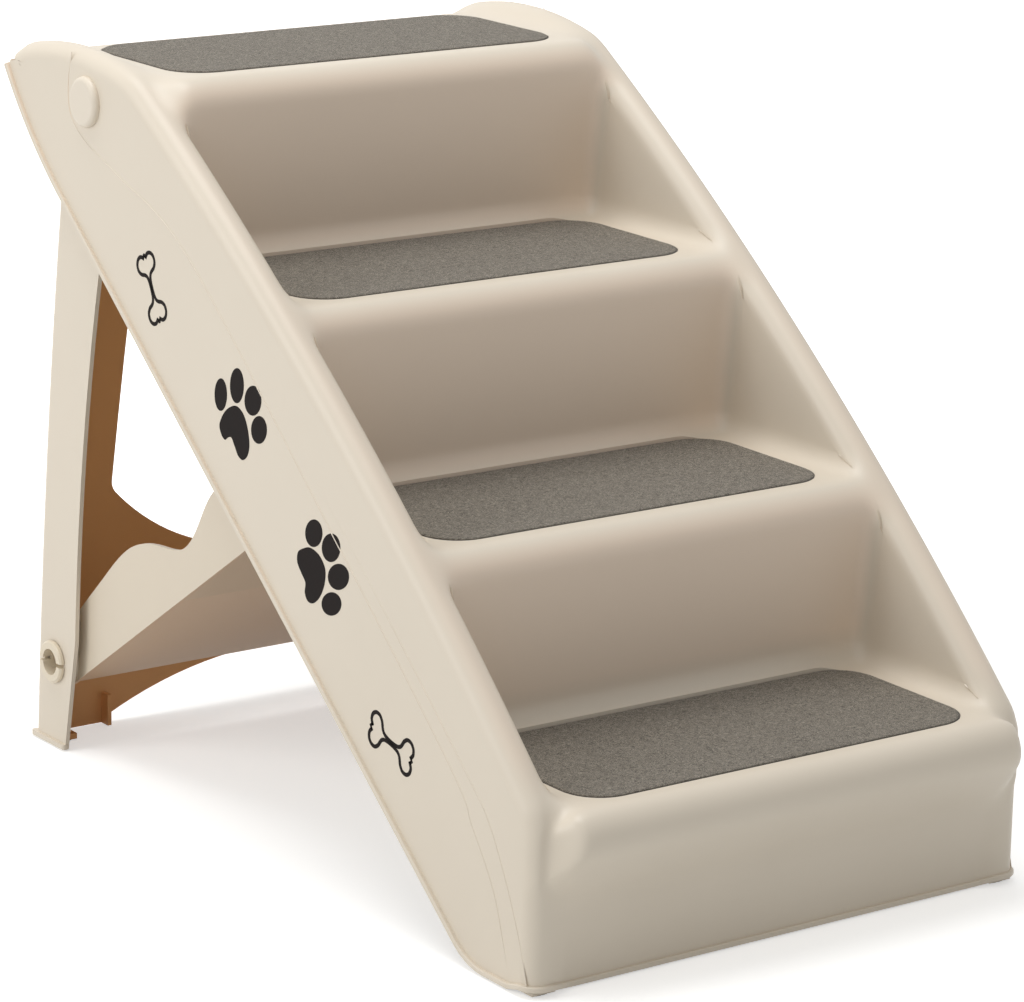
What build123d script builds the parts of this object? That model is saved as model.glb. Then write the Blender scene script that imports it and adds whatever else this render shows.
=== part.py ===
"""Folding pet stairs: a moulded four-step shell, carpet pads, a hinged rear leg and its brace."""

import os
from math import atan, atan2, cos, degrees, radians, sin, tan

from build123d import *

os.makedirs("parts", exist_ok=True)

# Steps
step_count = 4
rise = 120.0
run = 149.0
first_tread = 114.5
top_depth = 163.0
top_rest = 6.0
nose_reach = 24.0
nose_radius = 18.0
cove_radius = 15.0
riser_lean = 5.7
panel_setback = 4.8
throat_lean = 33.0
throat_radius = 40.0

# Moulded shell
shell_width = 378.0
wall = 3.0
rim_width = 23.0
rim_radius = 11.0
rim_core_radius = 8.0
corner_blend = 10.0
blend_drop = 1.0
blend_sink = 0.6
post_reach = 1.0
post_bend_radius = 30.0
crest_front = -4.1
crest_middle = 16.4
crown_front_setback = 6.0
crown_front_height = -0.5
crown_front_radius = 60.0
crown_peak_inset = 73.0
crown_peak_height = 10.0
crown_end_inset = 13.0
crown_end_height = 2.0
crown_end_radius = 20.0
tip_drop = 11.5
tip_run = 72.0
side_depth = 127.6
heel_radius = 50.0
back_lip = 14.0
nose_end_reach = 3.0
nose_end_radius = 12.0
lip_height = 3.5
lip_reach = 2.5
foot_plate_length = 38.0
foot_plate_thickness = 4.0
panel_overlap = 3.0
post_flank = 9.0
rib_thickness = 2.4
rib_depth = 6.0
rib_spread = 120.0

# Carpet pads
carpet_side_gap = 15.5
carpet_depth = 127.0
top_carpet_depth = 123.0
carpet_corner = 27.0
carpet_thickness = 2.2
carpet_recess = 1.2
carpet_gap = 0.3

# Rubber feet
pad_proud = 1.2
pad_thickness = 3.0
pad_width = 13.0
pad_length = 28.0
rear_pad_width = 13.0
rear_pad_length = 18.0
pad_corner = 4.0
pad_gap = 0.3

# Hinge at the top of the rear leg
hinge_back_reach = 57.0
hinge_below_tread = 22.5
hinge_pin_radius = 8.0
hinge_cap_radius = 16.5
hinge_cap_height = 4.5
hinge_cap_edge = 3.5
hinge_boss_radius = 14.0
hinge_boss_height = 3.0
hinge_washer_thickness = 1.2
hinge_washer_radius = 13.0
retainer_thickness = 1.5
retainer_radius = 13.0
screw_head_radius = 5.0
screw_head_height = 3.2
screw_radius = 2.2
screw_length = 14.0
screw_recess_radius = 2.4
screw_recess_depth = 1.6
running_gap = 0.1
side_gap = 0.3

# Rear leg
leg_wall = 3.0
leg_top_clearance = 7.5
leg_foot_clearance = 2.0
leg_head_radius = 21.0
leg_corner = 7.0
foot_back_reach = 79.5
foot_depth = 41.5
knee_height = 80.0
knee_reach = 25.0
leg_back_bow = 4.5
leg_front_shoulder_radius = 40.0
leg_front_bow = 6.0
shoulder_drop = 67.0
shoulder_back_reach = 50.0
front_shoulder_drop = 107.0
front_shoulder_reach = 5.0
web_top_drop = 50.0
window_top_drop = 74.0
window_top_margin = 63.5
window_low_margin = 55.0
window_low_height = 171.0
window_sag_height = 112.0
window_corner = 12.0
foot_width = 54.0
arch_spring = 5.0
arch_height = 36.5
leg_foot_plate = 4.0
foot_sole_width = 16.0
foot_sole_length = 22.0
foot_return = 9.0
leg_lip_height = 3.5
leg_lip_reach = 2.0
leg_lip_corner = 2.0
foot_rib_height = 22.0

# Brace between the leg and the shell
pivot_back_reach = 53.0
pivot_height = 60.0
brace_angle = 34.0
brace_clearance = 10.0
brace_wall = 3.2
brace_web = 3.0
brace_head_radius = 18.0
brace_neck_reach = 41.0
brace_neck_height = 23.0
brace_shoulder_reach = 80.0
brace_shoulder_height = 29.4
brace_hump_reach = 133.0
brace_hump_height = 33.4
brace_drop_reach = 161.0
brace_drop_height = 22.8
brace_dip_reach = 191.0
brace_dip_height = 9.7
brace_climb_reach = 217.0
brace_climb_height = 16.6
brace_rise_reach = 240.0
brace_front_height = 26.5
brace_edge_radius = 12.0
brace_crease = 166.0
brace_web_end = 232.0
brace_web_lift = 12.0
brace_web_start = 4.0
barrel_radius = 12.5
barrel_bore = 9.0
barrel_head_radius = 14.5
barrel_head_height = 3.2
barrel_chamfer = 1.2
barrel_collar_radius = 14.5
barrel_collar = 2.0
barrel_slot = 2.6
pivot_boss_radius = 17.0

# Latch pins that the front of the brace hooks over
latch_edge_distance = 22.4
latch_radius = 5.0
latch_gap = 0.5
latch_boss_radius = 8.5
latch_boss_height = 6.0
latch_inset = 19.0
hook_end = 15.0
hook_flare = 6.0

# One overrun for all through cuts, and a tolerance for picking edges
over = 20.0
touch = 0.05

# Derived places. The origin is on the floor, under the middle of the whole object.
slope = rise / run
slope_angle = atan(slope)
stair_depth = nose_reach + (step_count - 1) * run + top_depth
tread_front = nose_reach - stair_depth / 2
tip_y = stair_depth / 2
half_width = shell_width / 2
rim_inner = half_width - rim_width
rim_middle = half_width - rim_width / 2
carpet_half = rim_inner - carpet_side_gap
base_z = pad_proud
top_z = first_tread + rise * (step_count - 1)
top_front = tread_front + run * (step_count - 1)
post_front = tread_front - post_reach
tip_z = top_z - tip_drop
hinge_y = top_front + hinge_back_reach
hinge_z = top_z - hinge_below_tread
side_drop = side_depth / cos(slope_angle)


def tread_line(y):
    """Height of the line through the front edges of the treads."""
    return first_tread + slope * (y - tread_front)


def step_y(step):
    """Front edge of a step's carpet."""
    return tread_front + run * step


def step_z(step):
    """Plastic surface of a step's tread."""
    return first_tread + rise * step


def nose_corner(step):
    """Where the line under a nose and the tread line of its step would meet."""
    lean = riser_lean if step else throat_lean
    nose_excess = nose_radius / tan(radians(90 - lean) / 2) - nose_radius
    return step_y(step) - nose_reach - nose_excess


def corner_line(y):
    """Height of the line through the inner corners of the steps."""
    corner_y = nose_corner(1) + rise * tan(radians(riser_lean))
    return first_tread + slope * (y - corner_y)


# Outline of a side panel, with the bowed rim, the crown and the tip
heel_y = tread_front + (side_drop + base_z - first_tread) / slope
tip_arc_y = tip_y - tip_run
crown_start = (top_front + crown_front_setback, top_z + crown_front_height)
crown_peak = (tip_y - crown_peak_inset, top_z + crown_peak_height)
crown_end = (tip_y - crown_end_inset, top_z + crown_end_height)
crest_mid_y = (post_front + crown_start[0]) / 2
crest_start = (post_front, tread_line(post_front) + crest_front)
tip = (tip_y, tip_z)
tip_arc_start = (tip_arc_y, tread_line(tip_arc_y) - side_drop)

with BuildSketch() as side_outline:
    with BuildLine():
        Line((post_front, base_z), crest_start)
        ThreePointArc(crest_start, (crest_mid_y, tread_line(crest_mid_y) + crest_middle), crown_start)
        ThreePointArc(crown_start, crown_peak, crown_end)
        Line(crown_end, tip)
        tip_arc = TangentArc(tip_arc_start, tip, tangent=(cos(slope_angle), sin(slope_angle)))
        Line(tip_arc_start, (heel_y, base_z))
        Line((heel_y, base_z), (post_front, base_z))
    make_face()
    fillet(side_outline.vertices().sort_by_distance(crest_start)[0], post_bend_radius)
    fillet(side_outline.vertices().sort_by_distance(crown_start)[0], crown_front_radius)
    fillet(side_outline.vertices().sort_by_distance(crown_end)[0], crown_end_radius)
    fillet(side_outline.vertices().sort_by_distance((heel_y, base_z))[0], heel_radius)

tip_end = tip_arc % 1
tip_angle = atan2(tip_end.Y, tip_end.X)

# Profile of the steps, and the region under it
top_end_y = top_front + top_carpet_depth + top_rest
riser_slant, throat_slant = tan(radians(riser_lean)), tan(radians(throat_lean))
lean_run = rise * riser_slant
panel_foot = tread_front + panel_setback
panel_top = panel_foot - (first_tread - base_z) * riser_slant
throat_drop = (panel_top - nose_corner(0)) / (throat_slant - riser_slant)
throat = (panel_top + throat_drop * riser_slant, first_tread - throat_drop)
nose_points = [(nose_corner(step), step_z(step)) for step in range(step_count)]
cove_points = [(nose_corner(step + 1) + lean_run, step_z(step)) for step in range(step_count - 1)]
profile_points = [(panel_foot, base_z), throat]
for step in range(step_count):
    profile_points.append(nose_points[step])
    if step < step_count - 1:
        profile_points.append(cove_points[step])
profile_points += [(top_end_y, top_z), tip]

with BuildSketch() as stair_region:
    with BuildLine():
        Polyline(*profile_points)
        TangentArc(tip_arc_start, tip, tangent=(cos(slope_angle), sin(slope_angle)))
        Polyline(tip_arc_start, (heel_y, base_z), (panel_foot, base_z))
    make_face()
    for point in nose_points:
        fillet(stair_region.vertices().sort_by_distance(point)[0], nose_radius)
    for point in cove_points:
        fillet(stair_region.vertices().sort_by_distance(point)[0], cove_radius)
    fillet(stair_region.vertices().sort_by_distance(throat)[0], throat_radius)


def above_chord(edge):
    """True for the edges of a rim that run up the post, along the crest and over the crown."""
    middle = edge @ 0.5
    chord_y, chord_z = tip_y - post_front, tip_z - base_z
    return chord_y * (middle.Z - base_z) - chord_z * (middle.Y - post_front) > touch


def across(edge):
    """True for an edge that lies in a plane square to X."""
    return edge.bounding_box().size.X < touch


# One rim: a hollow bar with a round crest, which also forms the front post and the side panel
with BuildPart() as rim_block:
    with BuildSketch(Plane.YZ.offset(rim_inner)):
        add(side_outline.sketch_local)
    extrude(amount=rim_width)
    fillet(rim_block.edges().filter_by(across).filter_by(above_chord), rim_radius)

with BuildSketch() as side_core:
    offset(side_outline.sketch_local, amount=-wall)

core_width = rim_width - 2 * wall
with BuildPart() as rim_core:
    with BuildSketch(Plane.YZ.offset(rim_inner + wall)):
        add(side_core.sketch_local)
    extrude(amount=core_width)
    fillet(rim_core.edges().filter_by(across).filter_by(above_chord), rim_core_radius)

# What opens the underside: the core moved down and back, clear of the skins above it
open_shift = (2 * wall * sin(slope_angle), -2 * wall * cos(slope_angle))
foot_plate_end = post_front + foot_plate_length
with BuildSketch() as side_opening:
    with Locations(open_shift):
        add(side_core.sketch_local)
    with Locations((foot_plate_end + stair_depth, top_z / 2)):
        Rectangle(2 * stair_depth, 2 * top_z, mode=Mode.INTERSECT)

with BuildSketch() as stair_core:
    offset(stair_region.sketch_local, amount=-wall)
    with Locations(open_shift):
        add(offset(stair_region.sketch_local, amount=-wall, mode=Mode.PRIVATE))

with BuildSketch() as lip_band:
    add(side_outline.sketch_local)
    with Locations((-lip_height * sin(slope_angle), lip_height)):
        add(side_outline.sketch_local, mode=Mode.SUBTRACT)

# Rounded air above the steps: its rounded edges leave a soft corner where treads meet the rims
with BuildSketch() as air_region:
    with BuildLine():
        Polyline(
            *profile_points[2:-2],
            (top_end_y, top_z),
            (top_end_y, top_z + rise),
            (nose_corner(0), top_z + rise),
            close=True,
        )
    make_face()
    for point in nose_points[1:]:
        fillet(air_region.vertices().sort_by_distance(point)[0], nose_radius)
    for point in cove_points:
        fillet(air_region.vertices().sort_by_distance(point)[0], cove_radius)


def on_profile(edge):
    """True for the edges along the steps, false for the top and the ends of the air block."""
    middle = edge @ 0.5
    inside = nose_corner(0) + touch < middle.Y < top_end_y - touch
    return inside and middle.Z < top_z + touch


with BuildPart() as stair_air:
    with BuildSketch(Plane.YZ.offset(-rim_inner - blend_sink)):
        add(air_region.sketch_local)
    extrude(amount=2 * (rim_inner + blend_sink))
    fillet(stair_air.edges().filter_by(across).filter_by(on_profile), corner_blend)

# The soft corners stop below the round of the rim
with BuildSketch() as shoulder_region:
    offset(side_outline.sketch_local, amount=-(rim_radius + blend_drop))

with BuildPart() as corner_fill:
    with BuildSketch(Plane.YZ.offset(rim_inner - corner_blend)):
        add(shoulder_region.sketch_local)
    extrude(amount=corner_blend + touch)
    add(stair_air.part, mode=Mode.SUBTRACT)

# The hinge and the latch, seen from the side
leg_foot_half = half_width - leg_foot_clearance
leg_top_half = half_width - leg_top_clearance
brace_half = leg_foot_half - brace_clearance
arch_half = leg_foot_half - foot_width
pivot_y = hinge_y + pivot_back_reach
brace_line = (-cos(radians(brace_angle)), sin(radians(brace_angle)))
brace_rise = (sin(radians(brace_angle)), cos(radians(brace_angle)))


def on_brace(along, above):
    """A point of the brace, from its pivot: along its length, and above its middle line."""
    return (
        pivot_y + along * brace_line[0] + above * brace_rise[0],
        pivot_height + along * brace_line[1] + above * brace_rise[1],
    )


# The latch sits on the side panel, at its distance above the panel's lower edge
latch_climb = tread_line(pivot_y) - side_drop + latch_edge_distance / cos(slope_angle) - pivot_height
latch_reach = latch_climb / (brace_line[1] - slope * brace_line[0])
latch_point = on_brace(latch_reach, 0)
panel_inner = half_width - wall
boss_face = panel_inner - hinge_boss_height
latch_boss_face = panel_inner - latch_boss_height
rib_half = rib_thickness / 2

rib_foot = first_tread / 2
rib_foot_y = nose_corner(1) + lean_run + (rib_foot + rib_depth - first_tread) / slope
with BuildSketch() as rib_region:
    offset(stair_region.sketch_local, amount=-(wall - touch))
    offset(stair_region.sketch_local, amount=-(wall + rib_depth), mode=Mode.SUBTRACT)
    with BuildLine():
        Polyline(
            (-stair_depth, rib_foot),
            (rib_foot_y, rib_foot),
            (tip_y, corner_line(tip_y) - rib_depth),
            (tip_y, top_z + rise),
            (-stair_depth, top_z + rise),
            close=True,
        )
    make_face(mode=Mode.INTERSECT)

# The lowest nose is a full-width roll with rounded ends
nose_axis_y = tread_front - nose_reach + nose_radius
with BuildPart() as nose_roll:
    with BuildSketch(Plane.YZ.offset(-half_width - nose_end_reach)):
        with Locations((nose_axis_y, first_tread - nose_radius)):
            Circle(nose_radius)
    extrude(amount=shell_width + 2 * nose_end_reach)
    fillet(nose_roll.edges().filter_by(across), nose_end_radius)


def carpet_size(step):
    """Depth of a step's carpet: the one on the top tread is a little shorter."""
    return top_carpet_depth if step == step_count - 1 else carpet_depth


lip_along = (cos(tip_angle), sin(tip_angle))
lip_end = (tip_y - back_lip * lip_along[0], tip_z - back_lip * lip_along[1])
pad_x = rim_middle
pad_y = post_front + foot_plate_length / 2

# The shell: rims, steps, nose roll, lips, and everything moulded inside them
with BuildPart() as shell:
    add(rim_block.part)
    with BuildSketch(Plane.YZ.offset(half_width - lip_reach)):
        add(lip_band.sketch_local)
    extrude(amount=2 * lip_reach)
    with BuildSketch(Plane.XY.offset(base_z)):
        with Locations((rim_middle, post_front + rim_radius)):
            Circle(rim_width / 2 + lip_reach)
    extrude(amount=lip_height)
    add(corner_fill.part)
    mirror(about=Plane.YZ)
    add(nose_roll.part)
    with BuildSketch(Plane.YZ.offset(-rim_inner - panel_overlap)):
        add(stair_region.sketch_local)
    extrude(amount=2 * (rim_inner + panel_overlap))
    with BuildSketch(Plane.XY.offset(base_z)):
        with Locations((0, panel_foot - lip_reach / 2)):
            Rectangle(2 * rim_inner, lip_reach + wall)
    extrude(amount=lip_height)
    add(rim_core.part, mode=Mode.SUBTRACT)
    add(mirror(rim_core.part, about=Plane.YZ, mode=Mode.PRIVATE), mode=Mode.SUBTRACT)
    for side in (-1, 1):
        inner_x = side * (rim_inner + wall)
        with BuildSketch(Plane.YZ.offset(inner_x if side > 0 else inner_x - core_width)):
            add(side_opening.sketch_local)
        extrude(amount=core_width, mode=Mode.SUBTRACT)
    with BuildSketch(Plane.YZ.offset(-rim_inner - wall - touch)):
        add(stair_core.sketch_local)
    extrude(amount=2 * (rim_inner + wall + touch), mode=Mode.SUBTRACT)

    # Down-turned lip between the side panels, at the back of the top tread
    with BuildSketch(Plane.YZ.offset(-panel_inner)):
        with BuildLine():
            Polyline(
                tip,
                lip_end,
                (lip_end[0] - wall * lip_along[1], lip_end[1] + wall * lip_along[0]),
                (tip_y - 2 * wall, tip_z - wall),
                close=True,
            )
        make_face()
    extrude(amount=2 * panel_inner)
    # Stiffening ribs in the pockets under the steps
    for rib_x in (-rib_spread / 2, rib_spread / 2):
        with BuildSketch(Plane.YZ.offset(rib_x - rib_half)):
            add(rib_region.sketch_local)
        extrude(amount=rib_thickness)
    # Slanted inner flanks of the front posts: the leaning panel runs into them higher up
    flank_front = post_front + rim_radius / 4
    with BuildSketch(Plane.XY.offset(base_z)):
        for side in (-1, 1):
            Polygon(
                (side * (rim_inner + rim_radius / 2), flank_front),
                (side * (rim_inner - post_flank), panel_foot + wall / 2),
                (side * (rim_inner + rim_radius / 2), panel_foot + wall / 2),
                align=None,
            )
    extrude(amount=first_tread - nose_radius - base_z)
    # Floors of the front posts, with the seats of the rubber feet
    with BuildSketch(Plane.XY.offset(base_z)):
        with Locations((-pad_x, pad_y), (pad_x, pad_y)):
            Rectangle(core_width + 2 * touch, foot_plate_length - 2 * wall)
    extrude(amount=foot_plate_thickness)
    with BuildSketch(Plane.XY.offset(base_z)):
        with Locations((-pad_x, pad_y), (pad_x, pad_y)):
            RectangleRounded(pad_width + 2 * pad_gap, pad_length + 2 * pad_gap, pad_corner)
    extrude(amount=pad_thickness - pad_proud, mode=Mode.SUBTRACT)
    # Bosses for the hinges and the latch pins, inside the side panels
    for side in (-1, 1):
        with BuildSketch(Plane.YZ.offset(side * boss_face)):
            with Locations((hinge_y, hinge_z)):
                Circle(hinge_boss_radius)
        extrude(amount=side * (hinge_boss_height + touch))
        with BuildSketch(Plane.YZ.offset(side * latch_boss_face)):
            with Locations(latch_point):
                Circle(latch_boss_radius)
        extrude(amount=side * (latch_boss_height + touch))
        with BuildSketch(Plane.YZ.offset(side * boss_face)):
            with Locations((hinge_y, hinge_z)):
                Circle(hinge_pin_radius + running_gap)
        extrude(amount=side * (hinge_boss_height + wall + over), both=True, mode=Mode.SUBTRACT)
        with BuildSketch(Plane.YZ.offset(side * panel_inner)):
            with Locations(latch_point):
                Circle(latch_radius + running_gap)
        extrude(amount=-side * (latch_boss_height + over), mode=Mode.SUBTRACT)
    # Shallow recesses for the carpets
    for step in range(step_count):
        depth = carpet_size(step)
        with BuildSketch(Plane.XY.offset(step_z(step) - carpet_recess)):
            with Locations((0, step_y(step) + depth / 2)):
                RectangleRounded(2 * (carpet_half + carpet_gap), depth + 2 * carpet_gap, carpet_corner)
        extrude(amount=carpet_thickness + carpet_gap, mode=Mode.SUBTRACT)
shell.part.label = "stair_shell"
export_step(shell.part, "parts/stair_shell.step")


# Carpet pads, laid in their recesses
for step in range(step_count):
    depth = carpet_size(step)
    with BuildPart() as carpet:
        with BuildSketch(Plane.XY.offset(step_z(step) - carpet_recess)):
            with Locations((0, step_y(step) + depth / 2)):
                RectangleRounded(2 * carpet_half, depth, carpet_corner)
        extrude(amount=carpet_thickness)
    carpet.part.label = f"tread_carpet_{step + 1}"
    export_step(carpet.part, f"parts/tread_carpet_{step + 1}.step")

sides = {"left": -1, "right": 1}

# Rubber pads under the front posts
for name, side in sides.items():
    with BuildPart() as front_pad:
        with BuildSketch(Plane.XY):
            with Locations((side * pad_x, pad_y)):
                RectangleRounded(pad_width, pad_length, pad_corner)
        extrude(amount=pad_thickness)
    front_pad.part.label = f"front_foot_pad_{name}"
    export_step(front_pad.part, f"parts/front_foot_pad_{name}.step")

# Rear leg, seen from the side: the flange from its round head down to the foot
leg_foot_back = (hinge_y + foot_back_reach, base_z)
leg_foot_front = (hinge_y + foot_back_reach - foot_depth, base_z)
leg_knee = (hinge_y + knee_reach, knee_height)
leg_shoulder_back = (hinge_y + shoulder_back_reach, hinge_z - shoulder_drop)
leg_shoulder_front = (hinge_y - front_shoulder_reach, hinge_z - front_shoulder_drop)
head_share = 0.95


def bowed(start, end, bow):
    """Middle point of a shallow arc from start to end, moved back by the bow."""
    return ((start[0] + end[0]) / 2 + bow, (start[1] + end[1]) / 2)


leg_head_back = (hinge_y + head_share * leg_head_radius, hinge_z)
leg_head_front = (hinge_y - head_share * leg_head_radius, hinge_z)

with BuildSketch() as flange_region:
    with BuildLine():
        Line(leg_foot_front, leg_foot_back)
        leg_back_middle = bowed(leg_foot_back, leg_shoulder_back, leg_back_bow)
        ThreePointArc(leg_foot_back, leg_back_middle, leg_shoulder_back)
        Polyline(leg_shoulder_back, leg_head_back, leg_head_front, leg_shoulder_front)
        ThreePointArc(leg_shoulder_front, bowed(leg_shoulder_front, leg_knee, leg_front_bow), leg_knee)
        Line(leg_knee, leg_foot_front)
    make_face()
    with Locations((hinge_y, hinge_z)):
        Circle(leg_head_radius)
    fillet(flange_region.vertices().sort_by_distance(leg_shoulder_back)[0], leg_front_shoulder_radius)
    fillet(flange_region.vertices().sort_by_distance(leg_shoulder_front)[0], leg_front_shoulder_radius)
    fillet(flange_region.vertices().sort_by_distance(leg_knee)[0], leg_front_shoulder_radius)


def splay(inset, top):
    """Corners of the leg seen from the front, drawn in by a wall, from the floor up to a height."""
    splay_slope = (leg_foot_half - leg_top_half) / (hinge_z - base_z)
    top_half = leg_foot_half - splay_slope * (top - base_z) - inset
    foot_half = leg_foot_half + splay_slope * (over + base_z) - inset
    return [(-foot_half, -over), (foot_half, -over), (top_half, top), (-top_half, top)]


leg_top_z = hinge_z + leg_head_radius + over
web_top_z = hinge_z - web_top_drop
window_top_z = hinge_z - window_top_drop
leg_floor_z = base_z + leg_foot_plate
leg_mid_y = hinge_y + foot_back_reach - foot_depth / 2
leg_web_y = hinge_y + foot_back_reach - leg_wall
rear_pad_x = leg_foot_half - leg_wall - foot_sole_width / 2
rear_pad_y = leg_web_y - foot_sole_length / 2

with BuildPart() as leg_cavity:
    with BuildSketch(Plane.YZ.offset(-half_width)):
        with Locations((-leg_wall, 0)):
            add(flange_region.sketch_local)
        with Locations((-leg_wall - foot_depth / 2, 0)):
            add(flange_region.sketch_local)
        with Locations((hinge_y, leg_floor_z + leg_top_z)):
            Rectangle(stair_depth, 2 * leg_top_z, mode=Mode.INTERSECT)
    extrude(amount=shell_width)
    with BuildSketch(Plane.YZ.offset(-half_width)):
        with Locations((hinge_y, web_top_z + leg_top_z)):
            Rectangle(stair_depth, 2 * leg_top_z)
    extrude(amount=shell_width)
    with BuildSketch(Plane.XZ):
        Polygon(*splay(leg_wall, leg_top_z), align=None)
    extrude(amount=stair_depth, both=True, mode=Mode.INTERSECT)

with BuildPart() as rear_leg:
    with BuildSketch(Plane.YZ.offset(-half_width)):
        add(flange_region.sketch_local)
    extrude(amount=shell_width)
    with BuildSketch(Plane.XZ):
        Polygon(*splay(0, leg_top_z), align=None)
    extrude(amount=stair_depth, both=True, mode=Mode.INTERSECT)
    back_edges_y = hinge_y + knee_reach + foot_depth / 2
    back_edges = rear_leg.edges().filter_by(lambda edge: (edge @ 0.5).Y > back_edges_y)
    back_edges = back_edges.filter_by(lambda edge: base_z + touch < (edge @ 0.5).Z < leg_shoulder_back[1])
    back_edges = back_edges.filter_by(lambda edge: abs((edge @ 0.5).X) > leg_top_half - touch)
    fillet(back_edges, leg_corner)
    add(leg_cavity.part, mode=Mode.SUBTRACT)
    # Arch between the feet, and the window in the back web
    with BuildSketch(Plane.XZ) as leg_openings:
        with BuildLine():
            arch_left, arch_right = (-arch_half, arch_spring), (arch_half, arch_spring)
            Polyline(arch_left, (-arch_half, -over), (arch_half, -over), arch_right)
            ThreePointArc(arch_left, (0, arch_height), arch_right)
        make_face()
        with BuildLine():
            low, top = leg_foot_half - window_low_margin, leg_top_half - window_top_margin
            low_left, low_right = (-low, window_low_height), (low, window_low_height)
            top_left, top_right = (-top, window_top_z), (top, window_top_z)
            Polyline(low_left, top_left, top_right, low_right)
            ThreePointArc(low_right, (0, window_sag_height), low_left)
        make_face()
        for corner in (top_left, top_right, low_left, low_right):
            fillet(leg_openings.vertices().sort_by_distance(corner)[0], window_corner)
    extrude(amount=stair_depth, both=True, mode=Mode.SUBTRACT)
    # Small soles in the corners of the feet, returns beside the arch, and the lips round the feet
    for side in (-1, 1):
        with BuildSketch(Plane.XY.offset(-over)):
            with Locations((side * (leg_foot_half - leg_wall - foot_width / 2), leg_web_y - foot_depth / 2)):
                Rectangle(foot_width, foot_depth)
            with Locations((side * rear_pad_x, rear_pad_y)):
                Rectangle(foot_sole_width, foot_sole_length, mode=Mode.SUBTRACT)
        extrude(amount=leg_floor_z + over + touch, mode=Mode.SUBTRACT)
        with BuildSketch(Plane.YZ.offset(side * arch_half)):
            add(flange_region.sketch_local)
            with Locations((leg_web_y, base_z)):
                Rectangle(2 * foot_return, 2 * foot_rib_height, mode=Mode.INTERSECT)
        extrude(amount=side * leg_wall)
        with BuildSketch(Plane.XY.offset(base_z)):
            with Locations((side * (leg_foot_half + leg_lip_reach / 2 - leg_wall / 2), leg_mid_y)):
                RectangleRounded(leg_lip_reach + leg_wall, foot_depth + leg_lip_reach, leg_lip_corner)
        extrude(amount=leg_lip_height)
        with BuildSketch(Plane.XY.offset(base_z)):
            with Locations((side * rear_pad_x, rear_pad_y)):
                RectangleRounded(rear_pad_width + 2 * pad_gap, rear_pad_length + 2 * pad_gap, pad_corner)
        extrude(amount=pad_thickness - pad_proud, mode=Mode.SUBTRACT)
    # Bores for the hinge pins and for the barrels of the brace
    with BuildSketch(Plane.YZ.offset(-half_width)):
        with Locations((hinge_y, hinge_z)):
            Circle(hinge_pin_radius + running_gap)
        with Locations((pivot_y, pivot_height)):
            Circle(barrel_radius + running_gap)
    extrude(amount=shell_width, mode=Mode.SUBTRACT)
rear_leg.part.label = "rear_leg"
export_step(rear_leg.part, "parts/rear_leg.step")

# Rubber pads under the feet of the leg
for name, side in sides.items():
    with BuildPart() as rear_pad:
        with BuildSketch(Plane.XY):
            with Locations((side * rear_pad_x, rear_pad_y)):
                RectangleRounded(rear_pad_width, rear_pad_length, pad_corner)
        extrude(amount=pad_thickness)
    rear_pad.part.label = f"rear_foot_pad_{name}"
    export_step(rear_pad.part, f"parts/rear_foot_pad_{name}.step")

# Hinge hardware: a domed pin from outside, washers, and a screw from inside
splay_slope = (leg_foot_half - leg_top_half) / (hinge_z - base_z)
pin_end = leg_top_half - leg_wall - side_gap - hinge_washer_radius * splay_slope
for name, side in sides.items():
    with BuildPart() as hinge_pin:
        with BuildSketch(Plane.YZ.offset(side * half_width)):
            with Locations((hinge_y, hinge_z)):
                Circle(hinge_cap_radius)
        extrude(amount=side * hinge_cap_height)
        fillet(hinge_pin.edges().sort_by(Axis.X)[-1 if side > 0 else 0], hinge_cap_edge)
        with BuildSketch(Plane.YZ.offset(side * pin_end)):
            with Locations((hinge_y, hinge_z)):
                Circle(hinge_pin_radius)
        extrude(amount=side * (half_width - pin_end))
        with BuildSketch(Plane.YZ.offset(side * (pin_end - over))):
            with Locations((hinge_y, hinge_z)):
                Circle(screw_radius + running_gap)
        extrude(amount=side * (over + screw_length), mode=Mode.SUBTRACT)
    hinge_pin.part.label = f"hinge_pin_{name}"
    export_step(hinge_pin.part, f"parts/hinge_pin_{name}.step")

    with BuildPart() as hinge_washer:
        with BuildSketch(Plane.YZ.offset(side * boss_face)):
            with Locations((hinge_y, hinge_z)):
                Circle(hinge_washer_radius)
                Circle(hinge_pin_radius + running_gap, mode=Mode.SUBTRACT)
        extrude(amount=-side * hinge_washer_thickness)
    hinge_washer.part.label = f"hinge_spacer_{name}"
    export_step(hinge_washer.part, f"parts/hinge_spacer_{name}.step")

    with BuildPart() as retainer:
        with BuildSketch(Plane.YZ.offset(side * pin_end)):
            with Locations((hinge_y, hinge_z)):
                Circle(retainer_radius)
                Circle(screw_radius + running_gap, mode=Mode.SUBTRACT)
        extrude(amount=-side * retainer_thickness)
    retainer.part.label = f"hinge_washer_{name}"
    export_step(retainer.part, f"parts/hinge_washer_{name}.step")

    seat = pin_end - retainer_thickness
    with BuildPart() as screw:
        with BuildSketch(Plane.YZ.offset(side * seat)):
            with Locations((hinge_y, hinge_z)):
                Circle(screw_head_radius)
        extrude(amount=-side * screw_head_height)
        fillet(screw.edges().sort_by(Axis.X)[0 if side > 0 else -1], screw_head_height / 2)
        with BuildSketch(Plane.YZ.offset(side * seat)):
            with Locations((hinge_y, hinge_z)):
                Circle(screw_radius)
        extrude(amount=side * screw_length)
        with BuildSketch(Plane.YZ.offset(side * (seat - screw_head_height))):
            with Locations((hinge_y, hinge_z)):
                RegularPolygon(screw_recess_radius, 6)
        extrude(amount=side * screw_recess_depth, mode=Mode.SUBTRACT)
    screw.part.label = f"hinge_screw_{name}"
    export_step(screw.part, f"parts/hinge_screw_{name}.step")

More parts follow.
